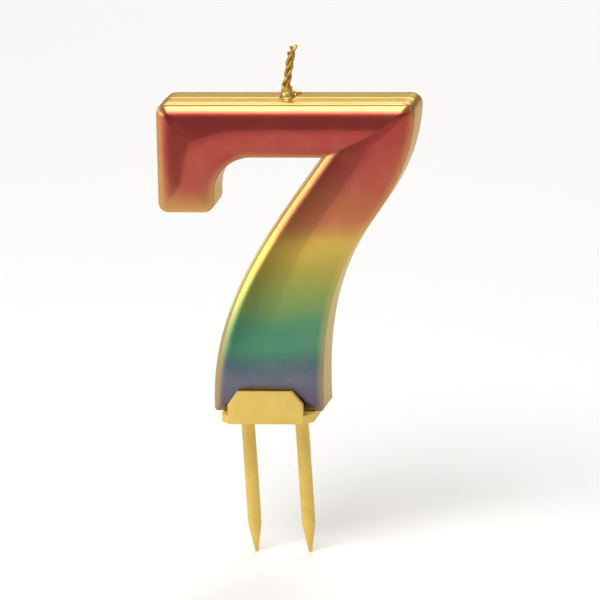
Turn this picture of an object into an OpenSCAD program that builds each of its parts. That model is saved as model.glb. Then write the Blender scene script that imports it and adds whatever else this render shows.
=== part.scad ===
// Number birthday candle, numeral 7, with a twisted wick and a lift-off cake holder.
// Millimetres. The front faces -Y and +Z is up. The origin is the centre of the holder's
// underside, which rests on the cake. The numeral's foot stands on the holder's plate.

/* [Numeral outline] */
// Height of the moulded numeral, from its foot to its top edge
numeral_h = 75; // [60:0.5:92]
// Height of the top bar
bar_h = 13.5; // [11:0.5:17]
// Reach of the top bar to the right of the foot's centre
bar_reach = 39.7; // [33:0.1:48]
// Reach of the arm's lower end to the left of the foot's centre
arm_reach = 23.5; // [20:0.1:28]
// Width of the arm at its lower end
arm_w = 13.5; // [11:0.1:16.5]
// Drop of the arm below the top edge
arm_drop = 26.8; // [22:0.1:36]
// Outward flare of the arm, in degrees
arm_flare = 2.4; // [0:0.1:4]
// Radius of the fillet between the arm and the top bar, where the arm is long enough for it
arm_fillet = 9.5; // [6:0.5:10]
// Distance from the foot's centre to the crotch, where the stem meets the bar's underside
crotch_x = 16.2; // [13:0.1:19.5]
// Width of the stem at its foot
foot_w = 26.4; // [21:0.1:32]
// Lean of the stem's left edge where it leaves the bar, in degrees
stem_lean = 37.3; // [30:0.1:42]
// Lean of the bar's right end where it leaves the top edge, in degrees
end_lean = 4.7; // [2:0.1:8]
// Lean of the stem's right edge where it meets the foot, in degrees
foot_lean = 0.5; // [0:0.1:2]
// Radius of the two upper corners
corner_r = 3; // [2:0.5:4]
// Radius of the arm's two lower corners
arm_corner_r = 2.5; // [1.5:0.5:3]
// Radius of the foot's two corners
foot_corner_r = 1; // [0.5:0.1:1.5]

/* [Numeral section] */
// Depth of the plain side wall
wall_d = 8.8; // [7:0.1:12]
// Width of the rounded rim along the edge of each face
rim_w = 0.7; // [0.4:0.1:1]
// Height of that rim
rim_h = 0.6; // [0.3:0.1:0.9]
// Distance from the edge to the inner side of the bevel
bevel_w = 2.3; // [1.8:0.1:2.8]
// Height of the bevel above the side wall
bevel_h = 1.7; // [1.2:0.1:2.2]
// Height that the pillowed face could still gain above the bevel
pillow_h = 2.4; // [1.6:0.1:3.2]
// Distance over which the pillowed face levels out
pillow_len = 8; // [6:0.5:10]

/* [Wick] */
// Distance from the foot's centre to the wick
wick_x = 8.2; // [3:0.1:10]
// Free length of the wick above the numeral
wick_free = 12.5; // [8:0.5:18]
// Wax left between the bottom of the wick hole and the bar's underside
wick_floor = 2; // [1:0.1:4]
// Diameter of one ply of the wick
ply_d = 0.9; // [0.7:0.05:1.1]
// Length of one turn of the twist
ply_pitch = 7.5; // [5:0.5:10]
// Sideways lean of the wick's tip, from the top of the wax bead on
wick_lean = 2; // [0:0.1:3]
// Clearance between the twisted plies and their hole
wick_gap = 0.1; // [0.05:0.05:0.2]
// Height to which the wax bead that seals the wick in climbs it
bead_h = 3.2; // [2:0.1:4]
// Radius of that bead where it meets the top edge
bead_r = 1.9; // [1.7:0.1:2.6]
// Thickness of the bead's wall round the wick
bead_wall = 0.25; // [0.2:0.05:0.4]
// Height of the drop of wax that ran from the bead to the back edge
run_h = 0.9; // [0.5:0.1:1.2]
// Radius of that drop
run_r = 1.5; // [1.2:0.1:1.7]

/* [Holder] */
// Thickness of the plate that the foot stands on
plate_t = 2; // [1.5:0.1:3]
// Width of the plate and of the two tabs
tab_w = 18; // [15:0.1:22]
// Width of a tab along its top edge
tab_top_w = 13.2; // [10:0.1:14.8]
// Height of the tabs above the plate
tab_h = 5.8; // [4.8:0.1:7]
// Height of the sloping shoulders of a tab
tab_slope_h = 3.1; // [2:0.1:4]
// Thickness of the tabs
tab_t = 1.4; // [1:0.1:2]
// Clearance between a tab and the numeral's pillowed face
tab_gap = 0.3; // [0.2:0.05:0.6]
// Distance between the two pegs, and between the two stakes
peg_spacing = 13; // [10:0.5:14.5]
// Diameter of the pegs that locate the numeral
peg_d = 3; // [2.4:0.1:3.6]
// Height of the pegs above the plate
peg_h = 9; // [6:0.5:11]
// Radial clearance of a peg in its socket
peg_clear = 0.05; // [0.02:0.01:0.1]
// Diameter of the stakes that go into the cake
stake_d = 3.2; // [2.6:0.1:4]
// Length of a stake's parallel shank
stake_shank = 27; // [20:1:34]
// Length of a stake's pointed end
stake_point = 7; // [5:0.5:9]

/* [Hidden] */
$fn = 64;

// Levels and places that follow from the sizes above, with z counted from the numeral's foot
under_z = numeral_h - bar_h;
arm_z = numeral_h - arm_drop;
flare_run = tan(arm_flare);
arm_top_x = -arm_reach + arm_drop * flare_run;
fillet_r = min(arm_fillet, arm_drop - bar_h - arm_corner_r);
arm_in_x = -arm_reach + arm_w + (under_z - arm_z - fillet_r) * flare_run;
fillet_c = [arm_in_x + fillet_r, under_z - fillet_r];
arm_long = 60;

// Handle lengths of the stem's two curved edges, as shares of the height they span
left_top_handle = 0.33 * under_z;
left_foot_handle = 0.42 * under_z;
right_top_handle = 0.43 * numeral_h;
right_foot_handle = 0.65 * numeral_h;

function bezier(p, t) =
    p[0] * pow(1 - t, 3) + 3 * p[1] * t * pow(1 - t, 2) + 3 * p[2] * t * t * (1 - t) + p[3] * pow(t, 3);

left_handles = [
    [crotch_x, under_z],
    [crotch_x - left_top_handle * sin(stem_lean), under_z - left_top_handle * cos(stem_lean)],
    [-foot_w / 2, left_foot_handle],
    [-foot_w / 2, 0]];
right_handles = [
    [bar_reach, numeral_h],
    [bar_reach - right_top_handle * sin(end_lean), numeral_h - right_top_handle * cos(end_lean)],
    [foot_w / 2 + right_foot_handle * sin(foot_lean), right_foot_handle * cos(foot_lean)],
    [foot_w / 2, 0]];

function left_edge(t) = bezier(left_handles, t);
function right_edge(t) = bezier(right_handles, t);

// The outline's sides as directed paths with the wax on their left, run on past their ends
curve_steps = 24;
left_path = concat(
    [[crotch_x + arm_long * sin(stem_lean), under_z + arm_long * cos(stem_lean)]],
    [for (i = [0 : curve_steps]) left_edge(i / curve_steps)],
    [[-foot_w / 2, -arm_long]]);
right_path = concat(
    [[foot_w / 2, -arm_long]],
    [for (i = [0 : curve_steps]) right_edge(1 - i / curve_steps)],
    [[bar_reach + arm_long * sin(end_lean), numeral_h + arm_long * cos(end_lean)]]);
below_arm = arm_z - arm_w / 2;
notch_path = concat(
    [[-arm_long, below_arm - arm_long], [arm_in_x - (fillet_c[1] - below_arm) * flare_run, below_arm]],
    [for (a = [0 : 10 : 90]) fillet_c + fillet_r * [-cos(a), sin(a)]],
    [[bar_reach + arm_long, under_z]]);

function seg_dist(p, a, b) =
    let (ab = b - a, t = max(0, min(1, ((p - a) * ab) / (ab * ab)))) norm(p - a - t * ab);
function inside_by(p, path) =
    let (d = [for (i = [0 : len(path) - 2]) seg_dist(p, path[i], path[i + 1])],
         near = min(d), k = search(near, d)[0])
    near * sign(cross(path[k + 1] - path[k], p - path[k]));
// Two distances that meet at a corner of the outline, which has the radius r
function round_corner(a, b, r) = (a < r && b < r) ? r - norm([r - a, r - b]) : min(a, b);

// Distance from a point of the face to the outline, mitred at the crotch
function edge_dist(p) =
    let (z = p[1], top = numeral_h - z,
         arm_left = (p[0] - arm_top_x + top * flare_run) * cos(arm_flare),
         right = inside_by(p, right_path),
         outer = round_corner(top, min(arm_left, right), corner_r),
         inner = max(inside_by(p, notch_path), inside_by(p, left_path)),
         in_arm = p[0] < fillet_c[0] && z > arm_z - 1)
    in_arm ? min(outer, round_corner(min(arm_left, inner), z - arm_z, arm_corner_r))
           : min(outer, round_corner(min(right, inner), z, foot_corner_r));

// Height of the face above the side wall at a distance d from the outline
function relief(d) =
    d <= 0 ? 0
    : d < rim_w ? rim_h * sqrt(1 - pow(1 - d / rim_w, 2))
    : d < bevel_w ? rim_h + (bevel_h - rim_h) * (d - rim_w) / (bevel_w - rim_w)
    : bevel_h + pillow_h * (1 - exp(-(d - bevel_w) / pillow_len));

// How far a rounded end corner draws its edge in, at a height h above the end
function corner_inset(h, r) = h < r ? r - sqrt(r * r - pow(r - h, 2)) : 0;

// Ribs across the stroke, from the arm's end, round the bar and down the stem to the foot.
// Each rib is [point on the outer side, point on the inner side].
arm_straight = fillet_c[1] - arm_z;
arm_ribs = [for (f = [0, 0.09, 0.3, 0.65])
    let (h = f * arm_straight, z = arm_z + h, inset = corner_inset(h, arm_corner_r), x = -arm_reach + h * flare_run)
    [[x + inset, z], [x + arm_w - inset, z]]];
turn_angles = [0, 10, 20, 30, 38];
arm_turn_ribs = [for (a = turn_angles)
    let (z = min(fillet_c[1] + (fillet_c[0] - arm_top_x) * tan(a), numeral_h - corner_r))
    [[arm_top_x - (numeral_h - z) * flare_run, z], fillet_c + fillet_r * [-cos(a), sin(a)]]];
left_corner_ribs = [for (a = [15, 45, 75])
    [[arm_top_x, numeral_h] + corner_r * [1 - cos(a), sin(a) - 1],
     fillet_c + fillet_r * [-cos(42 + a / 15), sin(42 + a / 15)]]];
bar_turn_ribs = [for (a = [52, 60, 70, 80, 90])
    [[max(fillet_c[0] - (numeral_h - fillet_c[1]) / tan(a), arm_top_x + corner_r), numeral_h],
     fillet_c + fillet_r * [-cos(a), sin(a)]]];
crotch_run = crotch_x - fillet_c[0];
bar_ribs = [for (f = [0.3, 0.6])
    [[fillet_c[0] + f * crotch_run, numeral_h], [fillet_c[0] + f * crotch_run, under_z]]];
end_run = bar_reach - corner_r - crotch_x;
crotch_ribs = [for (i = [0 : 4])
    [[crotch_x + (i * 0.25) * end_run, numeral_h], [crotch_x - (4 - i) * 0.06 * crotch_run, under_z]]];
right_corner_ribs = [for (a = [15, 45, 75])
    [[bar_reach - corner_r * sin(end_lean), numeral_h] + corner_r * [sin(a) - 1, cos(a) - 1],
     left_edge(a / 3000)]];
stem_rib_count = 20;
foot_share = 0.975;
stem_ribs = [for (i = [0 : stem_rib_count])
    let (f = i / stem_rib_count) [right_edge(0.06 + (foot_share - 0.05) * f), left_edge(0.04 + (foot_share - 0.05) * f)]];
foot_ribs = [for (h = [1, 0.3, 0])
    let (half = foot_w / 2 - corner_inset(h, foot_corner_r)) [[half, h], [-half, h]]];
ribs = concat(arm_ribs, arm_turn_ribs, left_corner_ribs, bar_turn_ribs, bar_ribs, crotch_ribs,
    right_corner_ribs, stem_ribs, foot_ribs);

// Points across one rib: close together over the rim and the bevel, even over the pillow
function rib_points(rib) =
    let (run = rib[1] - rib[0], w = norm(run), u = run / w,
         near_out = max(edge_dist(rib[0] + u), 0.2), near_in = max(edge_dist(rib[1] - u), 0.2),
         rim_a = min(rim_w / near_out, 0.1 * w), bevel_a = min(bevel_w / near_out, 0.3 * w),
         rim_b = w - min(rim_w / near_in, 0.1 * w), bevel_b = w - min(bevel_w / near_in, 0.3 * w))
    concat([0, rim_a], [for (k = [0 : 6]) bevel_a + (bevel_b - bevel_a) * k / 6], [rim_b, w]);

rib_n = 11;
face = [for (rib = ribs) let (u = (rib[1] - rib[0]) / norm(rib[1] - rib[0]))
    for (s = rib_points(rib)) rib[0] + s * u];
face_n = len(face);
is_rim = [for (i = [0 : face_n - 1])
    i % rib_n == 0 || i % rib_n == rib_n - 1 || i < rib_n || i >= face_n - rib_n];

module numeral_body() {
    rise = [for (i = [0 : face_n - 1]) wall_d / 2 + (is_rim[i] ? 0 : relief(edge_dist(face[i])))];
    front = [for (i = [0 : face_n - 1]) [face[i][0], -rise[i], face[i][1]]];
    back = [for (i = [0 : face_n - 1]) [face[i][0], rise[i], face[i][1]]];
    rows = len(ribs);
    function at(i, j) = i * rib_n + j;
    front_quads = [for (i = [0 : rows - 2], j = [0 : rib_n - 2])
        [at(i, j), at(i, j + 1), at(i + 1, j + 1), at(i + 1, j)]];
    back_quads = [for (q = front_quads) [for (k = [3 : -1 : 0]) face_n + q[k]]];
    outer_wall = [for (i = [0 : rows - 2])
        [at(i, 0), at(i + 1, 0), face_n + at(i + 1, 0), face_n + at(i, 0)]];
    inner_wall = [for (i = [0 : rows - 2])
        [at(i + 1, rib_n - 1), at(i, rib_n - 1), face_n + at(i, rib_n - 1), face_n + at(i + 1, rib_n - 1)]];
    arm_end = [for (j = [0 : rib_n - 2]) [at(0, j + 1), at(0, j), face_n + at(0, j), face_n + at(0, j + 1)]];
    foot_end = [for (j = [0 : rib_n - 2])
        [at(rows - 1, j), at(rows - 1, j + 1), face_n + at(rows - 1, j + 1), face_n + at(rows - 1, j)]];
    polyhedron(points = concat(front, back),
        faces = concat(front_quads, back_quads, outer_wall, inner_wall, arm_end, foot_end));
}

// The pegs stand in sockets a little deeper than they are high
socket_extra = 0.5;
wick_hole_depth = bar_h - wick_floor;
// The twisted plies lie just clear of each other round the wick's axis
ply_orbit = 0.6 * ply_d;
wick_hole_r = ply_orbit + ply_d / 2 + wick_gap;
cut_over = 1;

module wick_hole(depth) {
    translate([wick_x, 0, numeral_h - depth]) cylinder(h = depth + bead_h + cut_over, r = wick_hole_r);
}

module wax_numeral() {
    color([0.69, 0.28, 0.25])
    translate([0, 0, plate_t])
    difference() {
        numeral_body();
        for (side = [-1, 1])
            translate([side * peg_spacing / 2, 0, -cut_over])
                cylinder(h = peg_h + socket_extra + cut_over, d = peg_d + 2 * peg_clear);
        wick_hole(wick_hole_depth);
    }
}

// Centre line of the wick at a height s above the numeral's top edge
function wick_line(s) = [wick_x + wick_lean * max(0, s - bead_h) / (wick_free - bead_h), 0, numeral_h + s];
// The ends of the plies spread apart over the last part of the wick
fray_len = 2.5;
fray_spread = 0.35;
ring_sides = 8;
ring_step = 0.6;

// One ply, from the foot of the hole to its own end, starting at an angle round the axis
module wick_ply(start_angle, end_short) {
    low = -wick_hole_depth + socket_extra;
    high = wick_free - end_short;
    steps = ceil((high - low) / ring_step);
    points = [for (i = [0 : steps])
        let (s = low + (high - low) * i / steps, a = start_angle + 360 * s / ply_pitch,
             orbit = ply_orbit + fray_spread * pow(max(0, s - wick_free + fray_len) / fray_len, 2),
             c = wick_line(s) + orbit * [cos(a), sin(a), 0])
        for (k = [0 : ring_sides - 1]) c + ply_d / 2 * [cos(45 * k), sin(45 * k), 0]];
    sides = [for (i = [0 : steps - 1], k = [0 : ring_sides - 1])
        [i * ring_sides + k, (i + 1) * ring_sides + k,
         (i + 1) * ring_sides + (k + 1) % ring_sides, i * ring_sides + (k + 1) % ring_sides]];
    foot_cap = [for (k = [0 : ring_sides - 1]) k];
    tip_cap = [for (k = [ring_sides - 1 : -1 : 0]) steps * ring_sides + k];
    color([0.80, 0.64, 0.27])
    translate([0, 0, plate_t])
        polyhedron(points = points, faces = concat(sides, [foot_cap], [tip_cap]));
}
module wick_ply_1() wick_ply(150, 0);
module wick_ply_2() wick_ply(270, 0.4);
module wick_ply_3() wick_ply(30, 1.5);

// A low dome: a ball of wax cut off by the top edge
module dome(base_r, height) {
    ball_r = (base_r * base_r + height * height) / (2 * height);
    intersection() {
        translate([0, 0, height - ball_r]) sphere(r = ball_r);
        translate([-base_r, -base_r, 0]) cube([2 * base_r, 2 * base_r, height]);
    }
}

// Radius of the bead at a height h: it draws in quickly to a thin wall round the wick
bead_neck_r = wick_hole_r + bead_wall;
function bead_radius(h) = bead_neck_r + (bead_r - bead_neck_r) * pow(1 - h / bead_h, 3);
bead_steps = 6;

module wick_seal() {
    run_x = 1.4;
    run_y = wall_d / 2 - run_r;
    color([0.83, 0.68, 0.32])
    translate([0, 0, plate_t])
    difference() {
        translate([wick_x, 0, numeral_h]) {
            rotate_extrude()
                polygon(concat([[0, 0]],
                    [for (i = [0 : bead_steps]) let (h = bead_h * i / bead_steps) [bead_radius(h), h]],
                    [[0, bead_h]]));
            translate([run_x, run_y, 0]) dome(run_r, run_h);
        }
        wick_hole(0);
    }
}

// Inner face of the tabs, just clear of the pillowed face at the tabs' top edge
tab_in_y = wall_d / 2 + relief(tab_h) + tab_gap;
tab_slope_w = (tab_w - tab_top_w) / 2;
plate_d = 2 * (tab_in_y + tab_t);
plate_chamfer = 2;
peg_chamfer = 0.5;
stake_tip_r = 0.4;

module tab(side) {
    half = tab_w / 2;
    half_top = tab_top_w / 2;
    translate([0, side * (tab_in_y + tab_t / 2) + tab_t / 2, 0])
    rotate([90, 0, 0])
    linear_extrude(tab_t)
        polygon([[-half, 0], [half, 0], [half, plate_t + tab_h - tab_slope_h],
            [half_top, plate_t + tab_h], [-half_top, plate_t + tab_h],
            [-half, plate_t + tab_h - tab_slope_h]]);
}

module plate() {
    half_w = tab_w / 2 + plate_chamfer;
    half_d = plate_d / 2;
    linear_extrude(plate_t)
        polygon([for (s = [[1, -1], [1, 1], [-1, 1], [-1, -1]])
            each let (side = [s[0] * half_w, s[1] * (half_d - plate_chamfer)],
                      end = [s[0] * (half_w - plate_chamfer), s[1] * half_d])
                s[0] * s[1] > 0 ? [side, end] : [end, side]]);
}

// A peg or stake as a turned profile: parallel, then narrowed to its end
module spike(r, shank, point, end_r) {
    rotate_extrude()
        polygon([[0, 0], [r, 0], [r, shank], [end_r, shank + point], [0, shank + point]]);
}

module candle_holder() {
    color([0.86, 0.71, 0.33]) {
        plate();
        tab(-1);
        tab(1);
        for (side = [-1, 1]) translate([side * peg_spacing / 2, 0, 0]) {
            translate([0, 0, plate_t]) spike(peg_d / 2, peg_h - peg_chamfer, peg_chamfer, peg_d / 2 - peg_chamfer);
            mirror([0, 0, 1]) spike(stake_d / 2, stake_shank, stake_point, stake_tip_r);
        }
    }
}

wax_numeral();
wick_ply_1();
wick_ply_2();
wick_ply_3();
wick_seal();
candle_holder();
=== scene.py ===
import math

import bmesh
import bpy
import numpy as np
from mathutils import Matrix, Vector, geometry, noise


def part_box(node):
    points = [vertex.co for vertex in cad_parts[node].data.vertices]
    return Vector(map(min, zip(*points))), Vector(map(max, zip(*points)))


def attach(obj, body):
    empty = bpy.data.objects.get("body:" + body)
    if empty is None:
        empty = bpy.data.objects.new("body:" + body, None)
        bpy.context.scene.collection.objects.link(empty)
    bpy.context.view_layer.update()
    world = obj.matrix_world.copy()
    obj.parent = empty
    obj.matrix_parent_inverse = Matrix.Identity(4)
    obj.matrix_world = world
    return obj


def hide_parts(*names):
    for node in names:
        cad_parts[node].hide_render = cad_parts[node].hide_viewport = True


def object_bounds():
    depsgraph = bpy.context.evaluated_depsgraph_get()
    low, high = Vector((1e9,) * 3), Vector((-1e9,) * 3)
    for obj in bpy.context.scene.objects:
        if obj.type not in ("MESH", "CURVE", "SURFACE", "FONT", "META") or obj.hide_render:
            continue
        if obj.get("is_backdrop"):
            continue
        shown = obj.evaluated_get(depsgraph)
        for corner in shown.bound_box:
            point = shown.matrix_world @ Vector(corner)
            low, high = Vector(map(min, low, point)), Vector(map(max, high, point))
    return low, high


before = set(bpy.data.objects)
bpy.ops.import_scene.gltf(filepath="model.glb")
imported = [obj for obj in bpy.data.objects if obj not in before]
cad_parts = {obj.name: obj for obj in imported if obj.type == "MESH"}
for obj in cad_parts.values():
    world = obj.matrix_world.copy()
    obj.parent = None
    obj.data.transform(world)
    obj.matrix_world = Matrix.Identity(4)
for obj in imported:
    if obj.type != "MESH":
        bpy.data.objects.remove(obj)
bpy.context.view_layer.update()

# ---- The wax numeral ----
# A solid moulding of paraffin wax, cast in a two-part mould that closes on the middle of its side
# walls, and lacquered. Each face has a rounded rim, a bevel inside it and a pillowed middle with
# soft ridges.
mm = 0.001
wax_low, wax_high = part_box("wax_numeral")
foot_z = wax_low.z
numeral_h = (wax_high.z - wax_low.z) / mm
wall_d = 8.8
bar_h = 13.5
bar_reach = 39.7
arm_reach = 23.5
arm_w = 13.5
arm_drop = 26.8
arm_flare = math.radians(2.4)
fillet_r = 9.5
crotch_x = 16.2
foot_w = 26.4
stem_lean = math.radians(37.3)
end_lean = math.radians(4.7)
foot_lean = math.radians(0.5)
corner_r = 3.0
arm_corner_r = 2.5
foot_corner_r = 1.0

under_z = numeral_h - bar_h
arm_z = numeral_h - arm_drop
flare_run = math.tan(arm_flare)
arm_top_x = -arm_reach + arm_drop * flare_run
arm_in_x = -arm_reach + arm_w + (under_z - arm_z - fillet_r) * flare_run
fillet_x, fillet_z = arm_in_x + fillet_r, under_z - fillet_r

# The stem's two long edges are curves. A pull is how far a curve keeps its end's direction, as a
# share of the height.
crotch_pull = 0.33
left_foot_pull = 0.42
top_pull = 0.43
right_foot_pull = 0.65
edge_steps = 90


def bezier(handles, steps):
    t = np.linspace(0, 1, steps + 1)[:, None]
    a, b, c, d = (np.array(h) for h in handles)
    return a * (1 - t) ** 3 + 3 * b * t * (1 - t) ** 2 + 3 * c * t * t * (1 - t) + d * t ** 3


def arc(x, z, r, start, end, steps=16):
    a = np.radians(np.linspace(start, end, steps + 1))
    return np.column_stack([x + r * np.cos(a), z + r * np.sin(a)])


stem_up = np.array([math.sin(stem_lean), math.cos(stem_lean)])
end_up = np.array([math.sin(end_lean), math.cos(end_lean)])
crotch = np.array([crotch_x, under_z])
top_right = np.array([bar_reach, numeral_h])
left_edge = bezier([
    crotch, crotch - crotch_pull * under_z * stem_up,
    (-foot_w / 2, left_foot_pull * under_z), (-foot_w / 2, 0)], edge_steps)
right_rise = right_foot_pull * numeral_h
right_edge = bezier([
    top_right, top_right - top_pull * numeral_h * end_up,
    (foot_w / 2 + right_rise * math.sin(foot_lean), right_rise * math.cos(foot_lean)),
    (foot_w / 2, 0)], edge_steps)
notch_steps = 40
notch_arc = arc(fillet_x, fillet_z, fillet_r, 180, 90, notch_steps)

# The sides as directed paths with the wax on their left, run on past their ends
run_on = 60.0
below_arm = arm_z - arm_w / 2
left_path = np.vstack([crotch + run_on * stem_up, left_edge, (-foot_w / 2, -run_on)])
right_path = np.vstack([(foot_w / 2, -run_on), right_edge[::-1], top_right + run_on * end_up])
notch_path = np.vstack([
    (-run_on, below_arm - run_on), (arm_in_x - (fillet_z - below_arm) * flare_run, below_arm),
    notch_arc, (bar_reach + run_on, under_z)])

# The face's ridges are rounded, most where they are ridge_reach or more in from the outline, and
# the valley above the crotch is filled a little
ridge_r = 1.9
ridge_reach = 6.0
valley_r = 0.3
arm_slack = 1.0


def inside_by(points, path):
    """Distance of each point to a path, positive on the path's left."""
    a, run = path[:-1], np.diff(path, axis=0)
    off = points[:, None, :] - a[None]
    t = np.clip((off * run).sum(2) / (run * run).sum(1), 0, 1)
    gap = np.linalg.norm(off - t[:, :, None] * run, axis=2)
    near = gap.argmin(1)
    rows = np.arange(len(points))
    side = run[near, 0] * off[rows, near, 1] - run[near, 1] * off[rows, near, 0]
    return gap[rows, near] * np.sign(side)


def meet(a, b, r=0.0):
    """The lesser of two distances, rounded by r at the outline and as a ridge well inside it."""
    least = np.minimum(a, b)
    bend = np.maximum(r - least, ridge_r * np.clip(least / ridge_reach, 0, 1))
    return least + bend - np.hypot(np.maximum(least + bend - a, 0), np.maximum(least + bend - b, 0))


def rubbed(apart, r):
    """How much a crease of reach r is filled or worn where its two sides are this far apart."""
    return np.clip(r - abs(apart), 0, None) ** 2 / (4 * r)


def on_arm(points):
    """Whether points lie on the arm at the left, and not on the stem below it."""
    return (points[:, 0] < fillet_x) & (points[:, 1] > arm_z - arm_slack)


def edge_distance(points):
    """Distance from points of the face to the outline, mitred where the stem meets the bar."""
    x, z = points.T
    top = numeral_h - z
    arm_left = (x - arm_top_x + top * flare_run) * math.cos(arm_flare)
    outer = meet(top, np.minimum(arm_left, inside_by(points, right_path)), corner_r)
    under, left = inside_by(points, notch_path), inside_by(points, left_path)
    sides = meet(outer, np.maximum(under, left) + rubbed(under - left, valley_r))
    return np.where(
        on_arm(points), meet(sides, z - arm_z, arm_corner_r), meet(sides, z, foot_corner_r))


def inward(points, step=0.02):
    """The direction at each point straight away from the nearest edge."""
    slope = np.column_stack([
        edge_distance(points + (step, 0)) - edge_distance(points - (step, 0)),
        edge_distance(points + (0, step)) - edge_distance(points - (0, step))])
    return slope / np.maximum(np.linalg.norm(slope, axis=1), 1e-9)[:, None]


# The face's profile, from the rim to the pillow. The pillow rises ever more gently.
rim_w = 0.7
rim_h = 0.6
rim_round = 1.3
bevel_w = 2.3
bevel_h = 1.7
pillow_h = 2.4
pillow_len = 8.0
crease_h = 0.35
draft = 0.1


def relief(d):
    """Height of the face above the side wall at a distance d in from the rim."""
    rim = rim_h * np.sqrt(1 - (1 - np.clip(d / (rim_round * rim_w), 0, 1)) ** 2)
    bevel = rim_h + (bevel_h - rim_h) * (d - rim_w) / (bevel_w - rim_w)
    pillow = bevel_h + pillow_h * (1 - np.exp(-(d - bevel_w) / pillow_len))
    face = np.minimum(bevel, pillow) - rubbed(bevel - pillow, crease_h)
    return np.where(d < rim_w, np.minimum(rim, rim_h), face)


def spaced(path, gap):
    """The path's points at an even spacing, ends included."""
    along = np.concatenate([[0], np.cumsum(np.linalg.norm(np.diff(path, axis=0), axis=1))])
    at = np.linspace(0, along[-1], max(2, round(along[-1] / gap) + 1))
    return np.column_stack([np.interp(at, along, path[:, k]) for k in (0, 1)])


# The outline is laid out roughly, with the long edges' ends left off where an arc takes over. Then
# each of its points moves to where the distance is zero.
fine = 0.34
top_right_slack = 0.3
top_right_skip, foot_skip = 6, 2
settle_steps = 4
rough_outline = np.vstack([
    crotch, notch_arc[::-1],
    arc(-arm_reach + arm_w - arm_corner_r, arm_z + arm_corner_r, arm_corner_r, 0, -90),
    arc(-arm_reach + arm_corner_r, arm_z + arm_corner_r, arm_corner_r, 270, 180),
    arc(arm_top_x + corner_r, numeral_h - corner_r, corner_r, 180, 90),
    arc(bar_reach - corner_r - top_right_slack, numeral_h - corner_r, corner_r, 90, 0),
    right_edge[top_right_skip:-foot_skip],
    arc(foot_w / 2 - foot_corner_r, foot_corner_r, foot_corner_r, 0, -90),
    arc(-foot_w / 2 + foot_corner_r, foot_corner_r, foot_corner_r, 270, 180),
    left_edge[::-1][foot_skip:]])
outline = spaced(rough_outline, fine)[:-1]
for _ in range(settle_steps):
    outline[1:] -= edge_distance(outline[1:])[:, None] * inward(outline[1:])
outline[:, 0] = np.minimum(outline[:, 0], wax_high.x / mm)
outline_in = inward(outline)
outline_in[0] = (0, 1)

# The rims stand in from the parting line by the mould's draft, but not at the flat foot. At the
# crotch they go in along the line that halves its corner.
foot_flat = 0.2
draft_rise = 1.5
rim_dir = outline_in.copy()
rim_dir[0] = (stem_up[1], 1 - stem_up[0])
rim_dir[0] /= np.linalg.norm(rim_dir[0])
mitre = np.ones(len(outline))
mitre[0] = 1 / math.sin((math.pi / 2 - stem_lean) / 2)
rim_in = draft * np.clip((outline[:, 1] - foot_flat) / draft_rise, 0, 1)
rim_line = outline + rim_dir * (rim_in * mitre)[:, None]

# Points of a face: the valley above the crotch, rings that follow the rim and the bevel, and a grid
ring_depths = [0.03, 0.1, 0.2, 0.34, 0.5, 0.7, 0.95, 1.25, 1.55, 1.85, 2.1, 2.3, 2.5, 2.8, 3.15]
ring_slack = 0.012
rim_gap, bevel_gap, face_gap = 0.06, 0.11, 0.17
rim_deep, bevel_deep = 0.3, 1.0
crotch_reach = 9
valley_depths = np.arange(0.3, 6.2, 0.16)
grid_step = fine * 1.15
grid_margin = 0.3
reach = np.arange(fine, crotch_reach, fine)[:, None]
starts = np.vstack([outline, crotch + reach * (1, 0), crotch + reach * stem_up])
normals = np.vstack([
    outline_in, np.tile([0.0, 1.0], (len(reach), 1)),
    np.tile([stem_up[1], -stem_up[0]], (len(reach), 1))])
valley_run = (1 + stem_up[0]) / stem_up[1]
valley = crotch + np.array([[valley_run * d, d] for d in valley_depths])
layers = [(face_gap, valley)]
for depth in ring_depths:
    ring = starts + normals * (depth + draft)
    gap = rim_gap if depth < rim_deep else bevel_gap if depth < bevel_deep else face_gap
    layers.append((gap, ring[abs(edge_distance(ring) - depth - draft) < ring_slack]))
grid_x, grid_z = np.meshgrid(
    np.arange(-arm_reach, bar_reach, grid_step), np.arange(0, numeral_h, grid_step))
grid = np.column_stack([grid_x.ravel(), grid_z.ravel()])
layers.append((face_gap, grid[edge_distance(grid) > ring_depths[-1] + draft + grid_margin]))

cell = 0.4
taken = {}


def cell_of(x, z):
    return int(x // cell), int(z // cell)


def keep_apart(points, gap):
    """The points that are at least a gap away from every point taken so far."""
    kept = []
    for x, z in points:
        i, k = cell_of(x, z)
        near = (p for di in (-1, 0, 1) for dk in (-1, 0, 1) for p in taken.get((i + di, k + dk), ()))
        if all((p[0] - x) ** 2 + (p[1] - z) ** 2 > gap * gap for p in near):
            taken.setdefault((i, k), []).append((x, z))
            kept.append((x, z))
    return kept


for x, z in rim_line:
    taken.setdefault(cell_of(x, z), []).append((x, z))
face_points = [tuple(p) for p in rim_line]
for gap, layer in layers:
    face_points += keep_apart(layer, gap)
rim_n = len(rim_line)
coords, _, triangles, origins, _, _ = geometry.delaunay_2d_cdt(
    [Vector(p) for p in face_points], [], [list(range(rim_n))], 1, 1e-6)
flat = np.array([tuple(c) for c in coords])
rim_at = {o: i for i, group in enumerate(origins) for o in group if o < rim_n}
rim_ids = [rim_at[i] for i in range(rim_n)]
depth_in = edge_distance(flat)
depth_in[rim_ids] = 0
rise = relief(np.maximum(depth_in - draft, 0))
rise[rim_ids] = 0

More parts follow.
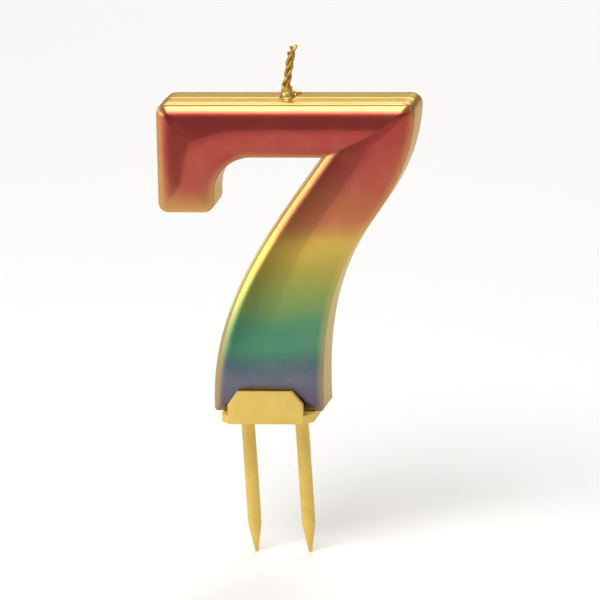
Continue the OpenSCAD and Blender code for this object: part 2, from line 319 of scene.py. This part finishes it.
# How much of the gold the sprayed colour hides: nearly all on the faces, less on the bevels that face
# up and to the left, where the lights above and at the left put their highlights, so that these show
# golden (painted highlight colour), less at the arm's end, little on the side walls, which the spray
# grazed, and least on those that face up.
# Up and to the left, towards the lights: bevels facing this way keep more gold, a painted highlight
# colour.
highlight_side = np.array([-0.6, 0.8])
rim_cover = 0.5
rim_highlight_gold = 0.15
cover_rise = 1.9
rise_highlight_gold = 0.9
thin_reach = 6
thin_loss = 0.55
wall_cover = 0.25
wall_edge_cover = 0.45
upward_loss = 0.8


def face_cover(points, d):
    # Bevels facing up and left, where the highlights fall, get less paint and so more gold: painted
    # highlight colour.
    toward_highlight = -inward(points) @ highlight_side
    rise = np.clip((d - draft - rise_highlight_gold * np.clip(toward_highlight, 0, 1)) / cover_rise, 0, 1)
    thin = np.clip((arm_z + thin_reach - points[:, 1]) / thin_reach, 0, 1) * on_arm(points)
    at_rim = rim_cover - rim_highlight_gold * toward_highlight
    return (at_rim + (1 - at_rim) * rise * rise * (3 - 2 * rise)) * (1 - thin_loss * thin)


# Both faces and the side wall between them, with a fine seam where the mould closes
flash_h = 0.02
seam_half = 0.04
wall_rows = np.array([-0.8, -0.5, -0.2, -0.05, -0.025, 0.025, 0.05, 0.2, 0.5, 0.8])
verts = [(x, -wall_d / 2 - r, z) for (x, z), r in zip(flat, rise)]
verts += [(x, wall_d / 2 + r, z) for (x, z), r in zip(flat, rise)]
cover = [face_cover(flat, depth_in)] * 2
faces_up = np.clip(-outline_in[:, 1], 0, 1)
row_ids = [rim_ids]
for row in wall_rows:
    across = wall_cover + (wall_edge_cover - wall_cover) * abs(row) ** 3
    cover.append(across * (1 - upward_loss * faces_up))
    behind_seam = 0 if abs(row) < seam_half else flash_h
    inset = (rim_in * abs(row) + behind_seam * (rim_in > 0)) * mitre
    line = outline + rim_dir * inset[:, None]
    row_ids.append(list(range(len(verts), len(verts) + rim_n)))
    verts += [(x, row * wall_d / 2, z) for x, z in line]
row_ids.append([len(flat) + i for i in rim_ids])
faces = [tuple(t) for t in triangles]
faces += [tuple(len(flat) + i for i in reversed(t)) for t in triangles]
for upper, lower in zip(row_ids, row_ids[1:]):
    faces += [(upper[i], upper[i - 1], lower[i - 1], lower[i]) for i in range(rim_n)]


def piece(name, verts, faces, lift=0.0):
    mesh = bpy.data.meshes.new(name)
    mesh.from_pydata([(x * mm, y * mm, z * mm + lift) for x, y, z in verts], [], faces)
    mesh.validate()
    made = bmesh.new()
    made.from_mesh(mesh)
    bmesh.ops.recalc_face_normals(made, faces=made.faces)
    made.to_mesh(mesh)
    made.free()
    obj = bpy.data.objects.new(name, mesh)
    bpy.context.scene.collection.objects.link(obj)
    return obj


numeral = piece("wax_body", verts, faces, lift=foot_z)
cover_layer = numeral.data.attributes.new("paint_cover", "FLOAT", "POINT")
cover_layer.data.foreach_set("value", np.concatenate(cover).astype(np.float32))

# Two round sockets for the holder's pegs, and the drilled hole for the wick
peg_spacing = 13.0
socket_r = 1.55
socket_h = 9.5
wick_x = 8.2
wick_hole_r = 1.09
wick_hole_depth = bar_h - 2.0
past_skin = 1
drill_sides = 48


def combine(obj, other, operation):
    """Cut or add the other object, and drop it."""
    step = obj.modifiers.new("combine", "BOOLEAN")
    step.operation, step.solver, step.object = operation, "EXACT", other
    bpy.context.view_layer.objects.active = obj
    bpy.ops.object.modifier_apply(modifier=step.name)
    bpy.data.objects.remove(other)


def drill(obj, x, z_low, z_high, r):
    tool = bmesh.new()
    bmesh.ops.create_cone(
        tool, cap_ends=True, segments=drill_sides, radius1=r * mm, radius2=r * mm,
        depth=(z_high - z_low) * mm,
        matrix=Matrix.Translation((x * mm, 0, foot_z + (z_low + z_high) / 2 * mm)))
    mesh = bpy.data.meshes.new("drill")
    tool.to_mesh(mesh)
    tool.free()
    cutter = bpy.data.objects.new("drill", mesh)
    bpy.context.scene.collection.objects.link(cutter)
    combine(obj, cutter, "DIFFERENCE")


for side in (-1, 1):
    drill(numeral, side * peg_spacing / 2, -past_skin, socket_h, socket_r)
drill(numeral, wick_x, numeral_h - wick_hole_depth, numeral_h + past_skin, wick_hole_r)


def smooth(obj, sharp_above=50):
    obj.data.shade_smooth()
    obj.data.set_sharp_from_angle(angle=math.radians(sharp_above))


smooth(numeral)


# The lacquer is metallic, gold all over first and then misted with colours in bands, from red at
# the top through gold and green to violet
class Nodes:
    """A material's nodes, made and linked in one call each."""

    def __init__(self, name):
        self.material = bpy.data.materials.new(name)
        self.material.use_nodes = True
        self.tree = self.material.node_tree
        self.shader = self.tree.nodes["Principled BSDF"]

    def add(self, kind, links=(), **settings):
        node = self.tree.nodes.new("ShaderNode" + kind)
        for key, value in settings.items():
            setattr(node, key, value)
        for socket, value in dict(links).items():
            if isinstance(value, bpy.types.NodeSocket):
                self.tree.links.new(value, node.inputs[socket])
            else:
                node.inputs[socket].default_value = value
        return node

    def join(self, output, name):
        self.tree.links.new(output, self.shader.inputs[name])

    def where(self):
        return self.add("TexCoord").outputs["Object"]

    def noise(self, at, scale, detail, **more):
        settings = {"Vector": at, "Scale": scale, "Detail": detail, **more}
        return self.add("TexNoise", settings).outputs[0]

    def bump(self, height, strength, depth):
        node = self.add("Bump", {"Height": height, "Strength": strength, "Distance": depth * mm})
        self.join(node.outputs[0], "Normal")

    def ramp(self, factor, stops, ease="EASE"):
        node = self.add("ValToRGB", {0: factor})
        node.color_ramp.interpolation = ease
        while len(node.color_ramp.elements) < len(stops):
            node.color_ramp.elements.new(0.5)
        for element, (place, colour) in zip(node.color_ramp.elements, sorted(stops)):
            element.position, element.color = place, (*colour, 1)
        return node.outputs[0]

    def map(self, value, low, high, to_low=0.0, to_high=1.0, ease="SMOOTHSTEP"):
        return self.add("MapRange", {0: value, 1: low, 2: high, 3: to_low, 4: to_high},
                        interpolation_type=ease).outputs[0]

    def math(self, operation, a, b=0.0):
        return self.add("Math", {0: a, 1: b}, operation=operation).outputs[0]

    def mix(self, factor, a, b):
        return self.add("Mix", {0: factor, 6: a, 7: b}, data_type="RGBA").outputs[2]


def linear(hex_colour):
    """A colour written as sRGB hex, as linear values."""
    parts = [int(hex_colour[i:i + 2], 16) / 255 for i in (0, 2, 4)]
    return tuple(c / 12.92 if c <= 0.04045 else ((c + 0.055) / 1.055) ** 2.4 for c in parts)


# The bands' colours, by their height over the foot. The mist's unevenness moves a band up or down
# by at most half of band_wander, and lets specks of the gold through.
gold = linear("cfae60")
bands = [
    (0.0, "504862"), (4.0, "625a6e"), (7.5, "636675"), (10.5, "536472"), (13.0, "4b6e68"),
    (16.0, "498869"), (19.5, "468767"), (22.5, "548a5f"), (27.0, "7c9452"), (31.0, "8e9849"),
    (35.5, "af9c45"), (39.5, "c5a648"), (42.0, "c8a148"), (44.3, "bc8247"), (46.8, "b56947"),
    (51.0, "af613f"), (55.5, "ac503f"), (60.0, "aa463c"), (68.0, "a73d37")]
band_wander = 4.0
speckle_depth = 0.3

lacquer = Nodes("painted_wax")
at = lacquer.where()
height = lacquer.add("SeparateXYZ", {0: at}).outputs[2]
mist = lacquer.noise(at, 130.0, 3.0)
uneven = lacquer.math("SUBTRACT", mist, 0.5)
wandered = lacquer.math("ADD", height, lacquer.math("MULTIPLY", uneven, band_wander * mm))
band_at = lacquer.map(wandered, foot_z, foot_z + numeral_h * mm, ease="LINEAR")
colour = lacquer.ramp(band_at, [(z / numeral_h, linear(c)) for z, c in bands], "LINEAR")
painted = lacquer.add("Attribute", attribute_name="paint_cover").outputs["Fac"]
speckled = lacquer.math("ADD", painted, lacquer.math("MULTIPLY", uneven, speckle_depth))
tint = lacquer.mix(lacquer.map(speckled, 0, 1, ease="LINEAR"), (*gold, 1), colour)
lacquer.join(tint, "Base Color")
satin = lacquer.noise(at, 900.0, 3.0)
lacquer.join(lacquer.map(satin, 0.2, 0.8, 0.29, 0.34), "Roughness")
lacquer.bump(lacquer.noise(at, 420.0, 1.0), 0.1, 0.1)
lacquer.shader.inputs["Metallic"].default_value = 0.85
lacquer.shader.inputs["Specular Tint"].default_value = (0.85, 0.7, 0.4, 1)
lacquer.shader.inputs["Coat Weight"].default_value = 0.3
lacquer.shader.inputs["Coat Roughness"].default_value = 0.25
numeral.data.materials.append(lacquer.material)
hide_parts("wax_numeral")
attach(numeral, "numeral")


# ---- The wick ----
# Three waxed cotton plies, loosely twisted and gilded with the numeral. They start near the bottom
# of the drilled hole, lean once they leave the wax seal, and spread a little where they were cut.
wick_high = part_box("wick_ply_1")[1]
top_z = foot_z / mm + numeral_h
wick_free = wick_high.z / mm - top_z
wick_lean = 2.0
ply_pitch = 7.5
ply_d = 0.9
ply_orbit = 0.6 * ply_d
fray_len = 2.5
fray_spread = 0.35
bead_h = 3.2
strands = 5
twist_pitch = 2.6
core_share, strand_share, fuzz_share = 0.80, 0.2, 0.12
fuzz_round, fuzz_along = 2.2, 2.4
tip_len, tip_share = 0.5, 0.55
off_bottom = 0.5
ply_rings, ply_sides = 190, 30


def ply_centre(s, start_angle):
    """The middle of a ply at a height s over the numeral's top edge."""
    turn = math.radians(start_angle + 360 * s / ply_pitch)
    orbit = ply_orbit + fray_spread * (max(0, s - wick_free + fray_len) / fray_len) ** 2
    lean = wick_lean * max(0, s - bead_h) / (wick_free - bead_h)
    return wick_x + lean + orbit * math.cos(turn), orbit * math.sin(turn)


def make_ply(name, start_angle, end_short, seed):
    low, high = -wick_hole_depth + off_bottom, wick_free - end_short
    verts, faces = [], []
    for i in range(ply_rings + 1):
        s = low + (high - low) * i / ply_rings
        x, y = ply_centre(s, start_angle)
        tip = math.sqrt(max(min(1, (high - s) / tip_len), 0))
        for k in range(ply_sides):
            a = 2 * math.pi * k / ply_sides
            strand = abs(math.sin(0.5 * strands * (a - 2 * math.pi * s / twist_pitch)))
            round_it = Vector((math.cos(a), math.sin(a), 0)) * fuzz_round
            fuzz = noise.noise(round_it + Vector((seed, 0, s * fuzz_along)))
            r = ply_d / 2 * (core_share + strand_share * strand + fuzz_share * fuzz)
            r *= tip_share + (1 - tip_share) * tip
            verts.append((x + r * math.cos(a), y + r * math.sin(a), top_z + s))
    for i in range(ply_rings):
        here, above = i * ply_sides, (i + 1) * ply_sides
        for k in range(ply_sides):
            n = (k + 1) % ply_sides
            faces.append((here + k, here + n, above + n, above + k))
    faces.append(tuple(range(ply_sides)))
    faces.append(tuple(range(ply_rings * ply_sides, (ply_rings + 1) * ply_sides)))
    return piece(name, verts, faces)


cotton = Nodes("gilded_cotton")
at = cotton.where()
strand_marks = cotton.noise(at, 2600.0, 3.0)
worn = cotton.noise(at, 900.0, 2.0)
gilding = cotton.ramp(worn, [(0.3, linear("8a6420")), (0.5, linear("c79a3e")), (0.7, linear("e6c766"))])
cotton.join(gilding, "Base Color")
cotton.join(cotton.map(strand_marks, 0.3, 0.7, 0.35, 0.6), "Roughness")
cotton.bump(strand_marks, 0.5, 0.15)
cotton.shader.inputs["Metallic"].default_value = 0.6

for n, (start_angle, end_short) in enumerate([(150, 0), (270, 0.4), (30, 1.5)], 1):
    ply = make_ply(f"wick_strand_{n}", start_angle, end_short, seed=7.3 * n)
    smooth(ply)
    ply.data.materials.append(cotton.material)
    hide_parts(f"wick_ply_{n}")
    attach(ply, "numeral")

# ---- The wick's wax seal ----
# A lump of wax that seals the wick into its hole. It has crept up the wick, taking the twist of the
# plies, and a drop of it has run to the bar's back edge.
bead_r, bead_neck_r = 1.9, wick_hole_r + 0.2
bead_rings, bead_sides = 34, 84
bore_r = wick_hole_r * 0.95
sunk, lip = 0.02, 0.05
twist_h, lump_h, crown_tilt = 0.10, 0.14, 0.12
lump_round, lump_along, lump_seed = 1.6, 0.9, 4


def bead_point(h, a):
    """A point of the bead's skin at a height h, at an angle a round the wick."""
    share = h / bead_h
    twist = twist_h * math.cos(3 * (a - 2 * math.pi * h / ply_pitch))
    spot = Vector((lump_round * math.cos(a), lump_round * math.sin(a), lump_along * h + lump_seed))
    lump = lump_h * noise.noise(spot)
    r = bead_neck_r + (bead_r - bead_neck_r) * (1 - share) ** 3
    r += (twist + lump) * math.sin(math.pi * share) ** 0.5
    tilt = 1 - crown_tilt * share * (1 + math.sin(a + 1))
    return wick_x + r * math.cos(a), r * math.sin(a), top_z + h * tilt


angles = [2 * math.pi * k / bead_sides for k in range(bead_sides)]
rows = [[bead_point(bead_h * (i / bead_rings) ** 1.3, a) for a in angles] for i in range(bead_rings + 1)]
bore = [(wick_x + bore_r * math.cos(a), bore_r * math.sin(a)) for a in angles]
rows.append([(x, y, z - lip) for (x, y), (_, _, z) in zip(bore, rows[-1])])
rows.append([(x, y, top_z - sunk) for x, y in bore])
rows.append([(wick_x + bead_r * math.cos(a), bead_r * math.sin(a), top_z - sunk) for a in angles])
verts = [p for row in rows for p in row]
faces = []
for i in range(len(rows)):
    here, above = i * bead_sides, (i + 1) % len(rows) * bead_sides
    for k in range(bead_sides):
        n = (k + 1) % bead_sides
        faces.append((here + k, here + n, above + n, above + k))
seal = piece("wick_bead", verts, faces)

drop_x, drop_y = wick_x + 1.4, wall_d / 2 - 1.5
drop_r, drop_h = 1.5, 0.9
drop_wave, drop_waist, drop_seed = 0.12, 0.08, 8.5
drop_rings, drop_sides = 12, 48
verts = [(drop_x, drop_y, top_z + drop_h)]
for i in range(1, drop_rings + 1):
    f = i / drop_rings
    for k in range(drop_sides):
        a = 2 * math.pi * k / drop_sides
        wavy = noise.noise(Vector((math.cos(a), math.sin(a), drop_seed)))
        r = drop_r * f * (1 + drop_wave * wavy * f - drop_waist * f)
        z = top_z + drop_h * (1 - f * f) ** 0.7
        verts.append((drop_x + r * math.cos(a), drop_y + r * math.sin(a), z))
verts.append((drop_x, drop_y, top_z - sunk))
faces = [(0, 1 + k, 1 + (k + 1) % drop_sides) for k in range(drop_sides)]
for i in range(drop_rings - 1):
    here, above = 1 + i * drop_sides, 1 + (i + 1) * drop_sides
    for k in range(drop_sides):
        n = (k + 1) % drop_sides
        faces.append((here + k, above + k, above + n, here + n))
last = 1 + (drop_rings - 1) * drop_sides
faces += [(last + k, len(verts) - 1, last + (k + 1) % drop_sides) for k in range(drop_sides)]
combine(seal, piece("wax_drop", verts, faces), "UNION")
smooth(seal)

gilt = Nodes("gilded_wax")
cloud = gilt.noise(gilt.where(), 500.0, 3.0)
gilt.join(gilt.ramp(cloud, [(0.3, linear("c79a45")), (0.7, linear("e6c470"))]), "Base Color")
gilt.join(gilt.map(cloud, 0.3, 0.7, 0.25, 0.4), "Roughness")
gilt.bump(cloud, 0.2, 0.2)
gilt.shader.inputs["Metallic"].default_value = 0.85
seal.data.materials.append(gilt.material)
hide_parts("wick_seal")
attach(seal, "numeral")

# ---- The holder ----
# One polystyrene moulding in pearl gold: a plate with two tabs that keep the numeral upright, two
# pegs that stand in its sockets, and two pointed stakes that go into the cake.
holder_low, holder_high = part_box("candle_holder")
plate_t = foot_z / mm
plate_d = (holder_high.y - holder_low.y) / mm
plate_chamfer = 2.0
tab_w, tab_top_w, tab_h, tab_slope_h, tab_t = 18.0, 13.2, 5.8, 3.1, 1.4
peg_r, peg_h, peg_chamfer = 1.5, 9.0, 0.5
stake_r, stake_shank, stake_point, stake_tip_r = 1.6, 27.0, 7.0, 0.4
edge_r, edge_segments = 0.22, 3
rooted, tab_rooted = 0.5, 0.3


def prism(profile, low, high, axis):
    """A closed solid: a profile in two axes, run from low to high along the third."""
    made = bmesh.new()
    place = {"y": lambda u, v, w: (u, w, v), "z": lambda u, v, w: (u, v, w)}[axis]
    ends = [[made.verts.new([c * mm for c in place(u, v, w)]) for u, v in profile] for w in (low, high)]
    made.faces.new(ends[0])
    made.faces.new(reversed(ends[1]))
    for i in range(len(profile)):
        made.faces.new((ends[0][i], ends[0][i - 1], ends[1][i - 1], ends[1][i]))
    bmesh.ops.recalc_face_normals(made, faces=made.faces)
    mesh = bpy.data.meshes.new("prism")
    made.to_mesh(mesh)
    made.free()
    obj = bpy.data.objects.new("prism", mesh)
    bpy.context.scene.collection.objects.link(obj)
    return obj


def turned(profile, x, sides=48):
    """A closed solid turned about a vertical axis at x, from (radius, z) points, both ends closed."""
    angles = [2 * math.pi * k / sides for k in range(sides)]
    verts = [(x + r * math.cos(a), r * math.sin(a), z) for r, z in profile for a in angles]
    faces = []
    for i in range(len(profile) - 1):
        here, above = i * sides, (i + 1) * sides
        for k in range(sides):
            n = (k + 1) % sides
            faces.append((here + k, here + n, above + n, above + k))
    faces += [tuple(range(sides)), tuple(range((len(profile) - 1) * sides, len(profile) * sides))]
    return piece("turned", verts, faces)


half_w, half_d = tab_w / 2 + plate_chamfer, plate_d / 2
holder = prism([
    (half_w, half_d - plate_chamfer), (half_w - plate_chamfer, half_d),
    (plate_chamfer - half_w, half_d), (-half_w, half_d - plate_chamfer),
    (-half_w, plate_chamfer - half_d), (plate_chamfer - half_w, -half_d),
    (half_w - plate_chamfer, -half_d), (half_w, plate_chamfer - half_d)], 0, plate_t, "z")
holder.name = holder.data.name = "holder_moulding"
tab_top, tab_slope_z = plate_t + tab_h, plate_t + tab_h - tab_slope_h
tab_profile = [
    (-tab_w / 2, tab_rooted), (tab_w / 2, tab_rooted), (tab_w / 2, tab_slope_z),
    (tab_top_w / 2, tab_top), (-tab_top_w / 2, tab_top), (-tab_w / 2, tab_slope_z)]
peg_profile = [
    (peg_r, plate_t - rooted), (peg_r, plate_t + peg_h - peg_chamfer),
    (peg_r - peg_chamfer, plate_t + peg_h)]
stake_profile = [(stake_r, rooted), (stake_r, -stake_shank), (stake_tip_r, -stake_shank - stake_point)]
additions = [
    prism(tab_profile, half_d - tab_t, half_d, "y"), prism(tab_profile, -half_d, tab_t - half_d, "y")]
for side in (-1, 1):
    additions += [turned(profile, side * peg_spacing / 2) for profile in (peg_profile, stake_profile)]
for part in additions:
    combine(holder, part, "UNION")
soften = holder.modifiers.new("soften", "BEVEL")
soften.width, soften.segments = edge_r * mm, edge_segments
soften.limit_method, soften.angle_limit = "ANGLE", math.radians(35)
soften.use_clamp_overlap = True
bpy.ops.object.modifier_apply(modifier=soften.name)
smooth(holder, 40)

plastic = Nodes("gold_plastic")
at = plastic.where()
pearl = plastic.noise(at, 170.0, 4.0, Distortion=0.6)
plastic.join(plastic.ramp(pearl, [(0.25, linear("dcb958")), (0.75, linear("e6c566"))]), "Base Color")
skin = plastic.noise(at, 3400.0, 2.0)
plastic.join(plastic.map(skin, 0.3, 0.7, 0.46, 0.58), "Roughness")
plastic.bump(skin, 0.12, 0.05)
plastic.shader.inputs["Metallic"].default_value = 0.3
holder.data.materials.append(plastic.material)
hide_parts("candle_holder")
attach(holder, "holder")

# ---- The studio ----
# A plain pale floor under the stakes' points, a room that is pale at the horizon, soft light from
# above, both sides and behind, and a camera a little to the right and above, turned 4 degrees.
floor_z = holder_low.z
bpy.ops.mesh.primitive_plane_add(size=8, location=(0, 0, floor_z))
floor = bpy.context.object
floor.name = "studio_floor"
paper = Nodes("pale_floor")
paper.shader.inputs["Base Color"].default_value = (0.83, 0.82, 0.805, 1)
paper.shader.inputs["Roughness"].default_value = 0.9
floor.data.materials.append(paper.material)
floor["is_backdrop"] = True

world = bpy.data.worlds.new("studio")
bpy.context.scene.world = world
world.use_nodes = True
sky = world.node_tree
direction = sky.nodes.new("ShaderNodeTexCoord")
split = sky.nodes.new("ShaderNodeSeparateXYZ")
shade = sky.nodes.new("ShaderNodeValToRGB")
pale = sky.nodes.new("ShaderNodeMix")
pale.data_type = "RGBA"
pale.inputs[7].default_value = (0.8, 0.8, 0.8, 1)
sky.links.new(direction.outputs["Generated"], split.inputs[0])
sky.links.new(split.outputs[2], shade.inputs[0])
sky.links.new(sky.nodes.new("ShaderNodeLightPath").outputs["Is Camera Ray"], pale.inputs[0])
sky.links.new(shade.outputs[0], pale.inputs[6])
sky.links.new(pale.outputs[2], sky.nodes["Background"].inputs[0])
shade.color_ramp.elements.new(0.2)
for element, (place, grey) in zip(shade.color_ramp.elements, [(0, 0.55), (0.15, 0.13), (0.85, 0.35)]):
    element.position, element.color = place, (grey, grey, grey * 1.02, 1)


def towards(azimuth, elevation):
    a, e = math.radians(azimuth), math.radians(elevation)
    return Vector((math.sin(a) * math.cos(e), -math.cos(a) * math.cos(e), math.sin(e)))


def softbox(name, azimuth, elevation, distance, width, height, power, aim):
    lamp = bpy.data.lights.new(name, "AREA")
    lamp.shape, lamp.size, lamp.size_y, lamp.energy = "RECTANGLE", width, height, power
    obj = bpy.data.objects.new(name, lamp)
    back = towards(azimuth, elevation)
    obj.location = aim + back * distance
    obj.rotation_euler = back.to_track_quat("Z", "Y").to_euler()
    bpy.context.scene.collection.objects.link(obj)


low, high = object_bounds()
middle = (low + high) / 2
softbox("softbox_above", -18, 57, 0.62, 0.46, 0.3, 3.2, middle)
softbox("softbox_left", -72, 11, 0.9, 0.32, 0.36, 1.7, middle)
softbox("softbox_right", 60, 25, 1.2, 0.5, 0.5, 0.6, middle)
softbox("softbox_back", 180, 50, 1.5, 1.4, 0.9, 18, middle + Vector((0, 0.2, 0)))

# A dark card at the front left with feathered edges. It shows only in the lacquer's gloss, and
# gives the left flanks of the pillowed faces their dark side.
card_w, card_h, card_gap, card_low = 0.21, 0.20, 0.20, 0.008
card_turn = math.radians(-38)
bpy.ops.mesh.primitive_plane_add(size=1)
card = bpy.context.object
card.name = "studio_card"
card.scale = (card_w, card_h, 1)
card.rotation_euler = (math.radians(90), 0, card_turn)
card.location = (
    middle.x + card_gap * math.sin(card_turn), middle.y - card_gap * math.cos(card_turn),
    floor_z + card_low + card_h / 2)
dark = Nodes("dark_card")
across, up, _ = dark.add("SeparateXYZ", {0: dark.add("TexCoord").outputs["Generated"]}).outputs
fade = dark.math("MULTIPLY", dark.map(across, 0.16, 0.4), dark.map(across, 0.72, 0.45))
fade = dark.math("MULTIPLY", fade, dark.map(up, 0, 0.12))
dark.join(dark.math("MULTIPLY", fade, 0.9), "Alpha")
dark.shader.inputs["Base Color"].default_value = (0.02, 0.02, 0.02, 1)
dark.shader.inputs["Roughness"].default_value = 1.0
card.data.materials.append(dark.material)
card.visible_camera = card.visible_shadow = card.visible_diffuse = False
card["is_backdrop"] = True

camera_azimuth, camera_elevation, camera_roll = 14, 16.5, -3.8
camera_distance = 2.5
frame_width = 0.140
sensor_width = 36
camera_data = bpy.data.cameras.new("camera")
camera = bpy.data.objects.new("camera", camera_data)
bpy.context.scene.collection.objects.link(camera)
back = towards(camera_azimuth, camera_elevation)
roll = Matrix.Rotation(math.radians(camera_roll), 3, "Z").to_quaternion()
camera.rotation_mode = "QUATERNION"
camera.location = middle + back * camera_distance
camera.rotation_quaternion = back.to_track_quat("Z", "Y") @ roll
camera_data.sensor_width = sensor_width
camera_data.lens = sensor_width * camera_distance / frame_width
camera_data.clip_end = 20
bpy.context.scene.camera = camera
bpy.context.scene.view_settings.view_transform = "Standard"
